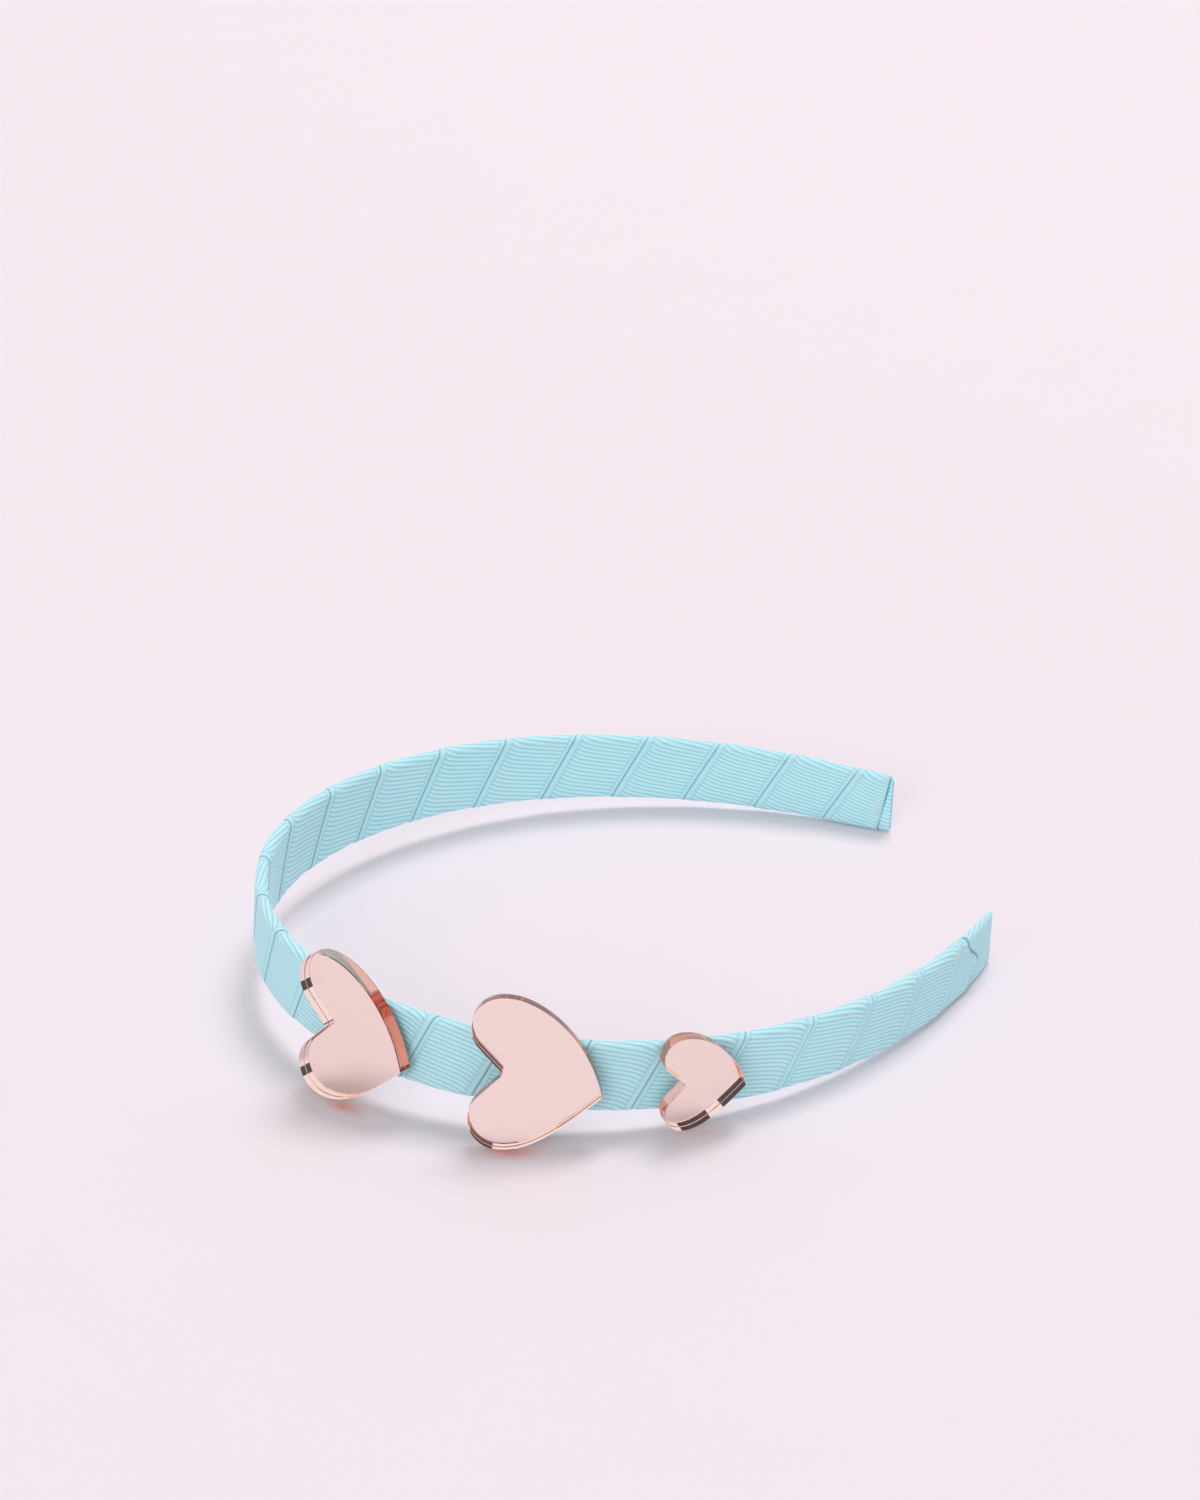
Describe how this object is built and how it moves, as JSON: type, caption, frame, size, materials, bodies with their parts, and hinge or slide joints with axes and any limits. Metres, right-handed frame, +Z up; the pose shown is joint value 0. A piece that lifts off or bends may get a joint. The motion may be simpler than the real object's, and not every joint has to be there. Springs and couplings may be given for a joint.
{
  "type": "heart headband",
  "caption": "Ribbon-wound U-shaped headband with flat acrylic mirror hearts glued along one side, lying on its side.",
  "frame": {"origin": "centre of the headband's box on the surface that it lies on", "axes": "+X from the crown to the open tips, +Y from the branch with the hearts to the plain branch, +Z up"},
  "size_m": [0.1464, 0.1386, 0.0305],
  "materials": {
    "ribbon": "satin",
    "acrylic_mirror": "gloss",
    "glue": "gloss"
  },
  "bodies": {
    "root": {"ribbon_wound_band": "ribbon", "tip_fold_heart_side": "ribbon", "tip_fold_plain_side": "ribbon", "glue_pad_large_crown": "glue", "glue_pad_large_middle": "glue", "glue_pad_small": "glue", "heart_large_crown": "acrylic_mirror", "heart_large_middle": "acrylic_mirror", "heart_small": "acrylic_mirror"}
  },
  "joints": []
}
